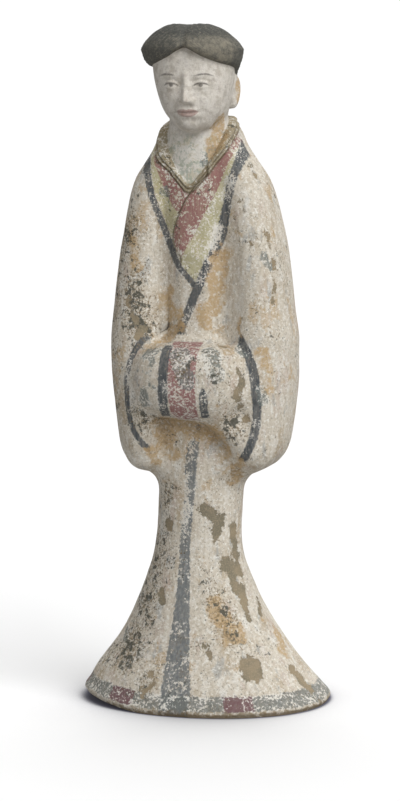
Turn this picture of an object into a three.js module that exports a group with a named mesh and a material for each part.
// A standing court lady, moulded in grey earthenware, then slipped white and painted.
// Millimetres, +Z up. The origin is the middle of the footprint. She faces -Y, and her own
// right side is towards -X. Her hands are joined inside her sleeves, in front of her waist.
import * as THREE from "three";
import { mergeVertices } from "three/addons/utils/BufferGeometryUtils.js";

// Driving dimensions.
const HEIGHT = 560; // floor to the top of the hair
const SKIRT_WALL = 12; // clay left around the hollow of the skirt
const HOLLOW_DEPTH = 132; // floor to the top of the hollow
const HEM_LIFT = 6; // how far the hem is warped off the floor at her right side

// The carving keeps its proportions: the tables below are in units, and there are CROWN units
// from the floor to the top of the hair. "Forward" is how far towards -Y of the origin.
const CROWN = 560;
const UNIT = HEIGHT / CROWN;

// How finely the surface is cut: columns round the figure, and rows up each band.
const COLUMNS = 64;
const FRONT_CROWDING = 0.36; // columns stand closer together on the face and hands
const DOME_ROWS = 8; // from the hairline up over the crown
const HOLLOW_ROWS = 8;
const SAMPLES_PER_ROW = 6; // probes taken to space the rows evenly along the surface

// The figure's colour, an average of slip, paint and bare clay.
const SLIP_COLOUR = 0xcfc3ae;

// Skirt and trunk: [height, half width, front, back, forward, aside].
const TRUNK = [
  [0, 101.5, 86, 89.5, 0, 0.5],
  [3.5, 103.5, 87.5, 91, 0, 0.5],
  [10, 99, 84, 87.5, 0.5, 0],
  [18, 93.5, 79, 82.5, 1.2, -1.5],
  [25, 88.5, 75, 78.5, 2, -2.5],
  [38, 79.2, 67, 70.5, 3.2, -3],
  [52, 70, 59.5, 62, 4.6, -3],
  [66, 61.2, 52.5, 54, 6, -3.2],
  [80, 54, 46.5, 47.5, 7.4, -3.6],
  [93, 48, 41.5, 42.5, 8.6, -3.8],
  [107, 42.6, 37, 38, 9.6, -4],
  [120, 38.4, 33.8, 34.6, 10.5, -4],
  [134, 36, 31.6, 32.4, 11, -3.6],
  [150, 35, 30.4, 31, 11, -3],
  [175, 35.2, 30.6, 31, 10.5, -2],
  [200, 37.5, 32.5, 33, 9, -1.5],
  [230, 43, 36, 35, 6, -1],
  [270, 50, 38, 37, 3, -1],
  [310, 54, 38, 38, 1.5, -1],
  [350, 55, 37.5, 38.5, 1, -1],
  [390, 54, 36.5, 38, 1, -1],
  [420, 50, 34, 37, 2, -1.5],
  [440, 45, 31.5, 35, 4, -2],
  [455, 38.5, 29, 32, 6.5, -3.2],
  [470, 33.5, 27, 29.5, 9, -3.8],
  [484, 29, 25.5, 27, 11, -4.5],
];

// The chest falls away towards each arm, in front, between the muff and the shoulders.
const FLANK = { inner: 9, outer: 27, depth: 6.5 };
const FLANK_SPAN = { low: [286, 312], high: [425, 370], front: [-10, -24] };

// Hanging sleeves: [height, reach outwards and half width of her right sleeve, the same of
// her left sleeve, front, back].
const SLEEVE = [
  [190, 64, 24, 63, 24, 38, 31],
  [202, 66.5, 24.5, 66.5, 24.5, 40, 33],
  [210, 68, 24.5, 69.5, 25.5, 41, 34],
  [222, 70.4, 25, 73.2, 26, 41.5, 35],
  [248, 73.6, 25.5, 76.8, 27, 42, 36],
  [275, 76.4, 26.5, 78.6, 27, 42, 36.5],
  [300, 77.4, 27, 78.6, 26, 41.5, 36.5],
  [329, 74.8, 25.5, 74.8, 23.6, 40, 36.5],
  [355, 72, 24, 72.2, 22.4, 38.5, 36],
  [382, 68, 22.5, 68.4, 21.4, 36.5, 35.5],
  [408, 63.4, 21, 62.2, 20, 34, 34.5],
  [421, 61, 21, 59, 20, 32, 33.5],
  [434, 57, 21, 54, 20, 30, 32],
  [448, 48, 19.5, 44.5, 18.5, 28, 30.5],
  [461, 40, 19, 35.5, 17, 26, 29],
  [474, 34.5, 17, 30, 15, 24, 26],
  [486, 29, 14, 24.8, 12, 20, 22],
];
const SLEEVE_AXIS = { x: -1, forward: 4 };
const SLEEVE_HEM = { z: 194, round: 24 }; // underside of the sleeves

// The two cuffs meet in a muff in front of the waist, and their lower edges hang away
// from it to the tips of the sleeves, on both sides of a hollow.
const MUFF = { x: 0, forward: 37, z: 270.5, halfWidth: 50, front: 34, back: 30, halfHeight: 32.5, square: 2.6 };
const MUFF_SPAN = { bottom: 180, top: 330 };
const DRAPE_RADIUS = 13;
const DRAPES = [
  { inner: [-41, -40, 246], outer: [-45, -32, 208] },
  { inner: [17, -45, 248], outer: [50, -31, 213] },
];

// Fillets, which grow or shrink between two heights.
const FILLET = { chest: 4, waist: 10, sleeveFoot: 18, muffUnderside: 5, muff: 13, drape: 12, collar: 3 };
const FILLET_SPAN = { foot: [196, 212], waist: [225, 290], muff: [238, 262] };

// Robe collar: height of its top edge, by the angle round the neck from the front.
const COLLAR_EDGE = [
  [0, 430.5],
  [20, 438.5],
  [35, 447],
  [48, 456],
  [60, 465],
  [75, 474],
  [92, 480],
  [125, 485],
  [180, 486],
];
const COLLAR_AXIS = { x: -3, forward: 10 };
const COLLAR_LEAN = -5; // the V points this many degrees towards her right
const NECK = [
  [420, 31, 22, 20],
  [440, 29, 21.5, 20],
  [455, 27.5, 21, 20],
  [470, 25.5, 20.5, 21],
  [485, 24, 20, 22],
  [500, 22, 19, 22],
];
const NECK_AXIS = { x: -3.5, forward: 12.5 };

// The head's own tables are heights above the chin, with the crown at HEAD_ROWS_HIGH.
const CHIN = 474;
const HEAD_ROWS_HIGH = 86;
const HEAD_UNIT = (CROWN - CHIN) / HEAD_ROWS_HIGH;
const headHeight = (up) => CHIN + up * HEAD_UNIT;

// Head: [height, half width, front, back] about an axis that leans to her right and forward.
const HEAD_AXIS = { x: -3, forward: 21, up: 16, leanAside: -0.05, leanForward: 0.085 };
const HEAD_TURN = 3; // degrees towards her left
const HEAD = [
  [-2, 8, 24, 10],
  [2, 14, 29.4, 18],
  [8, 20, 32.2, 24],
  [16, 25.4, 33.6, 29],
  [26, 29, 34, 33],
  [38, 31.6, 33.4, 36],
  [51, 32.8, 32, 37],
  [66, 30.5, 28.5, 34],
  [78, 21, 20, 26],
];
const CHIN_UNDERSIDE = -2;
const NECK_TOP = 36;
const SKULL_TOP = 72;
const THIRDS = { noseBase: 21.6, brow: 43.2 };

// Hair: [height, half width, front, back] about the same axis, cut off along the hairline.
const HAIR = [
  [0, 20, 18, 31],
  [13, 26, 24, 36],
  [19, 29, 26, 38],
  [26, 32, 28, 40],
  [33, 33.5, 29.5, 41],
  [46, 35.4, 32, 42.5],
  [52, 37.4, 33.5, 43],
  [59, 40.2, 35.4, 43.2],
  [65, 41.6, 36.8, 42.8],
  [72, 37.8, 34.2, 39.6],
  [78, 31.6, 28.4, 33.5],
  [82, 26, 22.8, 27.5],
  [86, 19.6, 17, 21],
  [92, 12, 10, 13],
];
const CROWN_ROUND = 6;
const HAIRLINE_ROUND = 4;
const HAIRLINE = [
  [0, 67],
  [10, 65],
  [28, 59.5],
  [55, 54.5],
  [78, 52.5],
  [100, 50.5],
  [118, 44],
  [134, 22],
  [152, 7],
  [180, 4],
];
const PARTING = { depth: 2.2, width: 3.4 };
const TAIL = { z: 458, halfWidth: 13, thick: 8, halfHeight: 40, back: 25, slope: -0.33, x: -2 };

// Each ear is a leaf that flares outwards, wider and further back towards its top.
const EAR = { out: 28.6, back: 12, up: 32.5, flare: 24, thick: 4.4, halfDepth: 8.4, halfHeight: 14.5 };
const EAR_LEAN = { back: 0.14, widening: 0.018 };

// An upright axis that stays inside the figure, bending forward into the head:
// [height, aside, forward]. The surface is found by looking out from it.
const AXIS = [
  [0, 0, 0],
  [110, -3, 9],
  [200, -1, 8],
  [300, -1, 5],
  [420, -2, 9],
  [465, -2.5, 12],
  [headHeight(18), -3.1, 21.2],
  [headHeight(56), -5.4, 24.4],
];
const REACH = 125;

// Small helpers.
const RADIANS = Math.PI / 180;
const clamp01 = (t) => Math.min(1, Math.max(0, t));
const smoothstep = (a, b, t) => {
  const s = clamp01((t - a) / (b - a));
  return s * s * (3 - 2 * s);
};
const mix = (a, b, t) => a + (b - a) * t;
const hump = (t, width) => Math.exp(-((t / width) ** 2));
const union = (a, b, round) => {
  const h = Math.max(round - Math.abs(a - b), 0) / round;
  return Math.min(a, b) - (h * h * round) / 4;
};
const common = (a, b, round) => -union(-a, -b, round);

// Reads a table of stations at a height, with a curve that never overshoots them.
const lastReading = new Map();
function station(table, at) {
  const known = lastReading.get(table);
  if (known && known.at === at) return known.values;
  const values = curveThrough(table, at);
  lastReading.set(table, { at, values });
  return values;
}

function curveThrough(table, at) {
  const last = table.length - 1;
  if (at <= table[0][0]) return table[0].slice(1);
  if (at >= table[last][0]) return table[last].slice(1);
  let i = 0;
  while (at > table[i + 1][0]) i++;
  const step = table[i + 1][0] - table[i][0];
  const t = (at - table[i][0]) / step;
  const slope = (k, column) => {
    if (k === 0 || k === last) return 0;
    const below = (table[k][column] - table[k - 1][column]) / (table[k][0] - table[k - 1][0]);
    const above = (table[k + 1][column] - table[k][column]) / (table[k + 1][0] - table[k][0]);
    return below * above <= 0 ? 0 : (2 * below * above) / (below + above);
  };
  return table[i].slice(1).map((value, index) => {
    const column = index + 1;
    const rise = table[i + 1][column] - value;
    const m0 = slope(i, column) * step;
    const m1 = slope(i + 1, column) * step;
    return value + t * (m0 + t * (3 * rise - 2 * m0 - m1 + t * (m0 + m1 - 2 * rise)));
  });
}

// Distance from a point to an oval, measured along the line from the oval's middle.
function ovalDistance(dx, dy, halfWidth, front, back, square = 2) {
  const depth = dy < 0 ? front : back;
  const reach = Math.hypot(dx, dy);
  if (reach < 1e-6) return -Math.min(halfWidth, depth);
  const q = ((Math.abs(dx) / halfWidth) ** square + (Math.abs(dy) / depth) ** square) ** (1 / square);
  return reach * (1 - 1 / q);
}

// The same for an egg, which has its own half sizes to the sides, front, back, up and down.
function eggDistance(dx, dy, dz, halfWidth, front, back, halfHeight, square = 2) {
  const depth = dy < 0 ? front : back;
  const reach = Math.hypot(dx, dy, dz);
  if (reach < 1e-6) return -Math.min(halfWidth, depth, halfHeight);
  const shares = [dx / halfWidth, dy / depth, dz / halfHeight];
  const q = shares.reduce((sum, share) => sum + Math.abs(share) ** square, 0) ** (1 / square);
  return reach * (1 - 1 / q);
}

// Distance to a thick rod between two points.
function rodDistance(x, y, z, from, to, radius) {
  const along = to.map((value, i) => value - from[i]);
  const offset = [x - from[0], y - from[1], z - from[2]];
  const dot = (a, b) => a[0] * b[0] + a[1] * b[1] + a[2] * b[2];
  const t = clamp01(dot(offset, along) / dot(along, along));
  return Math.hypot(offset[0] - t * along[0], offset[1] - t * along[1], offset[2] - t * along[2]) - radius;
}

// Angle round an axis, in degrees: 0 in front, 180 behind.
const angleFromFront = (dx, dy) => Math.abs(Math.atan2(dx, -dy)) / RADIANS;

function trunk(x, y, z) {
  const [halfWidth, front, back, forward, aside] = station(TRUNK, z);
  const span =
    smoothstep(...FLANK_SPAN.low, z) * smoothstep(...FLANK_SPAN.high, z) * smoothstep(...FLANK_SPAN.front, y);
  const flank = FLANK.depth * span * smoothstep(FLANK.inner, FLANK.outer, Math.abs(x - SLEEVE_AXIS.x));
  return ovalDistance(x - aside, y + forward, halfWidth, front, back, 2.1) + flank;
}

function sleeve(x, y, z, side) {
  const [rightReach, rightHalf, leftReach, leftHalf, front, back] = station(SLEEVE, z);
  const [reach, halfWidth] = side > 0 ? [leftReach, leftHalf] : [rightReach, rightHalf];
  const out = side * (x - SLEEVE_AXIS.x) - (reach - halfWidth);
  const around = ovalDistance(out, y + SLEEVE_AXIS.forward, halfWidth, front, back, 2.3);
  return common(around, SLEEVE_HEM.z - z, SLEEVE_HEM.round);
}

function muff(x, y, z) {
  const { halfWidth, front, back, halfHeight, square } = MUFF;
  return eggDistance(x - MUFF.x, y + MUFF.forward, z - MUFF.z, halfWidth, front, back, halfHeight, square);
}

function cuffs(x, y, z) {
  let d = muff(x, y, z);
  for (const { inner, outer } of DRAPES) {
    d = union(d, rodDistance(x, y, z, inner, outer, DRAPE_RADIUS), FILLET.drape);
  }
  return d;
}

function robe(x, y, z) {
  let d = trunk(x, y, z);
  const upper = mix(FILLET.waist, FILLET.chest, smoothstep(...FILLET_SPAN.waist, z));
  const fillet = mix(FILLET.sleeveFoot, upper, smoothstep(...FILLET_SPAN.foot, z));
  for (const side of [-1, 1]) d = union(d, sleeve(x, y, z, side), fillet);
  if (z > MUFF_SPAN.bottom && z < MUFF_SPAN.top) {
    const round = mix(FILLET.muffUnderside, FILLET.muff, smoothstep(...FILLET_SPAN.muff, z));
    d = union(d, cuffs(x, y, z), round);
  }
  if (z < COLLAR_EDGE[0][1] - 10) return d;
  const lean = COLLAR_LEAN * RADIANS;
  const dx = x - COLLAR_AXIS.x;
  const dy = y + COLLAR_AXIS.forward;
  const across = dx * Math.cos(lean) + dy * Math.sin(lean);
  const turned = angleFromFront(across, dy * Math.cos(lean) - dx * Math.sin(lean));
  return common(d, 0.75 * (z - station(COLLAR_EDGE, turned)[0]), FILLET.collar);
}

function neck(x, y, z) {
  const [halfWidth, front, back] = station(NECK, z);
  const d = ovalDistance(x - NECK_AXIS.x, y + NECK_AXIS.forward, halfWidth, front, back);
  return Math.max(d, z - headHeight(NECK_TOP));
}

// The head's own frame: how far across the face and ahead of the leaning axis a point lies.
function headFrame(x, y, up) {
  const turn = HEAD_TURN * RADIANS;
  const dx = x - HEAD_AXIS.x - HEAD_AXIS.leanAside * (up - HEAD_AXIS.up);
  const dy = y + HEAD_AXIS.forward + HEAD_AXIS.leanForward * (up - HEAD_AXIS.up);
  return [dx * Math.cos(turn) + dy * Math.sin(turn), dy * Math.cos(turn) - dx * Math.sin(turn)];
}

// Brow, eyes, nose, lips and chin, raised from the front of the head. Heights are above the chin.
function faceRelief(across, up) {
  const { noseBase, brow } = THIRDS;
  const eyeHeight = brow - 7;
  const mouthHeight = (noseBase * 2) / 3;
  const noseWidth = 3.2 + 3.4 * smoothstep(eyeHeight, noseBase, up);
  const ridge = 1.6 + 6 * smoothstep(brow + 4, noseBase + 2, up);
  const noseSpan = smoothstep(noseBase - 2.4, noseBase + 1.6, up) * smoothstep(brow + 10, brow, up);
  let height = ridge * hump(across, noseWidth) * noseSpan;
  for (const side of [-1, 1]) {
    height -= 2.4 * hump(across - side * 10.5, 8) * hump(up - eyeHeight, 5.5);
    height += 1.9 * hump(across - side * 13, 5.8) * hump(up - eyeHeight, 3);
    height += 0.8 * hump(across - side * 13, 11) * hump(up - brow, 3.2);
    height += 1 * hump(across - side * 17, 8) * hump(up - noseBase, 9);
  }
  height += 1.4 * hump(across, 8) * hump(up - mouthHeight - 1.6, 1.9);
  height += 1.6 * hump(across, 6.5) * hump(up - mouthHeight + 2, 1.8);
  height += 1.2 * hump(across, 8) * hump(up - 4, 5);
  return height;
}

function ear(out, ahead, up) {
  const flare = EAR.flare * RADIANS;
  const rise = up - EAR.up;
  const aside = out - EAR.out;
  const behind = ahead - EAR.back - EAR_LEAN.back * rise;
  const thick = aside * Math.cos(flare) - behind * Math.sin(flare);
  const deep = (aside * Math.sin(flare) + behind * Math.cos(flare)) / (1 + EAR_LEAN.widening * rise);
  return eggDistance(thick, deep, rise, EAR.thick, EAR.halfDepth, EAR.halfDepth, EAR.halfHeight);
}

function head(across, ahead, up) {
  const [halfWidth, front, back] = station(HEAD, up);
  let d = ovalDistance(across, ahead, halfWidth, front, back, 2.15);
  if (ahead < 0) d -= faceRelief(across, up) * smoothstep(0, -20, ahead);
  d = Math.max(common(d, 0.9 * (CHIN_UNDERSIDE - up), 5), up - SKULL_TOP);
  return union(d, ear(Math.abs(across), ahead, up), 2);
}

function hair(across, ahead, up) {
  const [halfWidth, front, back] = station(HAIR, up);
  const parting = PARTING.depth * hump(across, PARTING.width) * smoothstep(12, -14, ahead);
  let d = ovalDistance(across, ahead, halfWidth, front, back, 2.1) + parting;
  d = common(d, up - HEAD_ROWS_HIGH + parting, CROWN_ROUND);
  const edge = station(HAIRLINE, angleFromFront(across, ahead))[0];
  return common(d, 0.8 * (edge - up), HAIRLINE_ROUND);
}

function tail(x, y, z) {
  const { halfWidth, thick, halfHeight } = TAIL;
  const middle = TAIL.back + TAIL.slope * (z - TAIL.z);
  return eggDistance(x - TAIL.x, y - middle, z - TAIL.z, halfWidth, thick, thick, halfHeight);
}

// The whole figure: negative inside the clay, positive outside it.
function figure(x, y, z) {
  const clothed = robe(x, y, z);
  if (z < TAIL.z - 1.4 * TAIL.halfHeight) return clothed;
  const up = (z - CHIN) / HEAD_UNIT;
  const [across, ahead] = headFrame(x, y, up);
  const skin = union(neck(x, y, z), head(across, ahead, up), 4);
  const combed = union(hair(across, ahead, up), tail(x, y, z), 5);
  return union(union(clothed, skin, 2), combed, 1.2);
}

// The outermost clay along a ray from the axis. The azimuth is from the front, in radians.
function surfacePoint(height, azimuth, rise) {
  const [aside, forward] = station(AXIS, height);
  const dx = Math.sin(azimuth) * Math.cos(rise);
  const dy = -Math.cos(azimuth) * Math.cos(rise);
  const dz = Math.sin(rise);
  const depthAt = (r) => figure(aside + r * dx, r * dy - forward, height + r * dz);
  let outside = REACH;
  let inside = REACH;
  for (let d = depthAt(inside); d > 0 && inside > 0; d = depthAt(inside)) {
    outside = inside;
    inside = Math.max(0, inside - Math.max(0.6 * d, 0.5));
  }
  for (let i = 0; i < 12; i++) {
    const r = (inside + outside) / 2;
    if (depthAt(r) < 0) inside = r;
    else outside = r;
  }
  return new THREE.Vector3(aside + inside * dx, inside * dy - forward, height + inside * dz);
}

// Bands of rows up the figure: [top, rows]. Their tops follow the hem, the undersides of
// the sleeves, the muff, the collar, the jaw and the hairline round the figure.
const SHORTEST_BAND = 1;
const JAW = { front: 1, back: 18, from: 40, to: 110 };
const TEMPLE = 44;
const DOME_CENTRE = headHeight(54);
const degreesRound = (azimuth) => angleFromFront(Math.sin(azimuth), -Math.cos(azimuth));
const collarTop = (azimuth) => station(COLLAR_EDGE, degreesRound(azimuth - COLLAR_LEAN * RADIANS))[0];
const jaw = (azimuth) => {
  const share = smoothstep(JAW.from, JAW.to, degreesRound(azimuth));
  return headHeight(mix(JAW.front, JAW.back, share));
};
const hairEdge = (azimuth) => headHeight(Math.max(station(HAIRLINE, degreesRound(azimuth))[0], TEMPLE));
const BANDS = [
  [() => 3.5, 1],
  [() => 11, 1],
  [() => 186, 12],
  [() => 206, 4],
  [() => 243, 5],
  [() => 305, 8],
  [() => 412, 7],
  [(azimuth) => collarTop(azimuth) - 3, 4],
  [(azimuth) => collarTop(azimuth) + 1.5, 1],
  [jaw, 3],
  [(azimuth) => hairEdge(azimuth) - 1, 13],
  [(azimuth) => hairEdge(azimuth) + 2.5, 1],
];

// Points up one side of the figure, evenly spaced along the surface within each band.
function meridian(azimuth) {
  const points = [];
  let bottom = 0;
  for (const [topAt, rows] of BANDS) {
    const top = Math.max(topAt(azimuth), bottom + SHORTEST_BAND);
    const samples = rows === 1 ? 1 : SAMPLES_PER_ROW * rows;
    const heights = Array.from({ length: samples + 1 }, (_, i) => mix(bottom, top, i / samples));
    const trail = heights.map((z) => surfacePoint(z, azimuth, 0));
    const along = [0];
    for (let i = 1; i <= samples; i++) along.push(along[i - 1] + trail[i].distanceTo(trail[i - 1]));
    for (let row = 0; row < rows; row++) {
      const target = (along[samples] * row) / rows;
      let i = 1;
      while (i < samples && along[i] < target) i++;
      const share = (target - along[i - 1]) / (along[i] - along[i - 1]);
      points.push(surfacePoint(mix(heights[i - 1], heights[i], share), azimuth, 0));
    }
    bottom = top;
  }
  for (let row = 0; row < DOME_ROWS; row++) {
    const climb = row / DOME_ROWS;
    points.push(surfacePoint(mix(bottom, DOME_CENTRE, climb), azimuth, (climb * Math.PI) / 2));
  }
  return points;
}

// Her right hem is warped off the floor. The lift of a point of the skirt.
function hemLift(x, y, z) {
  const aside = -x / Math.hypot(x, y, 1);
  return HEM_LIFT * smoothstep(0.35, 1, aside) * (1 - smoothstep(0, 60, z));
}

// The hollow of the skirt, from its dome down to the floor: the trunk's ovals less the wall.
function hollowLine(azimuth) {
  const wall = SKIRT_WALL / UNIT;
  const depth = HOLLOW_DEPTH / UNIT;
  return Array.from({ length: HOLLOW_ROWS }, (_, row) => {
    const down = (row + 1) / HOLLOW_ROWS;
    const z = depth * Math.cos((down * Math.PI) / 2);
    const [halfWidth, front, back, forward, aside] = station(TRUNK, Math.max(z, 4));
    const slant = Math.hypot(1, (halfWidth - curveThrough(TRUNK, z + 6)[0]) / 6);
    const closing = Math.sqrt(1 - smoothstep(0.72 * depth, depth, z) ** 2);
    const across = (halfWidth - wall * slant) * closing;
    const depthHere = ((Math.cos(azimuth) > 0 ? front : back) - wall * slant) * closing;
    return new THREE.Vector3(aside + across * Math.sin(azimuth), -depthHere * Math.cos(azimuth) - forward, z);
  });
}

// Lathes a closed profile, then moves each of its points onto the clay.
function carvedFigure() {
  const crown = surfacePoint(DOME_CENTRE, 0, Math.PI / 2);
  const [, , , domeForward, domeAside] = station(TRUNK, HOLLOW_DEPTH / UNIT);
  const hollowTop = new THREE.Vector3(domeAside, -domeForward, HOLLOW_DEPTH / UNIT);
  const lines = Array.from({ length: COLUMNS }, (_, column) => {
    const turn = (2 * Math.PI * column) / COLUMNS;
    const azimuth = turn - FRONT_CROWDING * Math.sin(turn);
    return [hollowTop, ...hollowLine(azimuth), ...meridian(azimuth), crown];
  });
  const rows = lines[0].length;
  const profile = lines[0].map((_, row) => new THREE.Vector2(row === 0 || row === rows - 1 ? 0 : 1, row));
  const geometry = new THREE.LatheGeometry(profile, COLUMNS);
  for (let column = 0; column <= COLUMNS; column++) {
    lines[column % COLUMNS].forEach((p, row) => {
      const z = p.z * UNIT + hemLift(p.x, p.y, p.z);
      geometry.attributes.position.setXYZ(column * rows + row, p.x * UNIT, p.y * UNIT, z);
    });
  }
  return geometry;
}

// Joins the lathe's seam and drops the empty triangles at its two ends.
function closedBody(geometry) {
  geometry.deleteAttribute("normal");
  geometry.deleteAttribute("uv");
  const merged = mergeVertices(geometry, 1e-3);
  const old = merged.index.array;
  const kept = [];
  for (let i = 0; i < old.length; i += 3) {
    const [a, b, c] = [old[i], old[i + 1], old[i + 2]];
    if (a !== b && b !== c && c !== a) kept.push(a, b, c);
  }
  merged.setIndex(kept);
  merged.computeVertexNormals();
  return merged;
}

const lady = new THREE.Mesh(
  closedBody(carvedFigure()),
  new THREE.MeshStandardMaterial({ color: SLIP_COLOUR, roughness: 0.9, metalness: 0 }),
);
lady.name = "court_lady";

const part = new THREE.Group();
part.add(lady);

export default part;
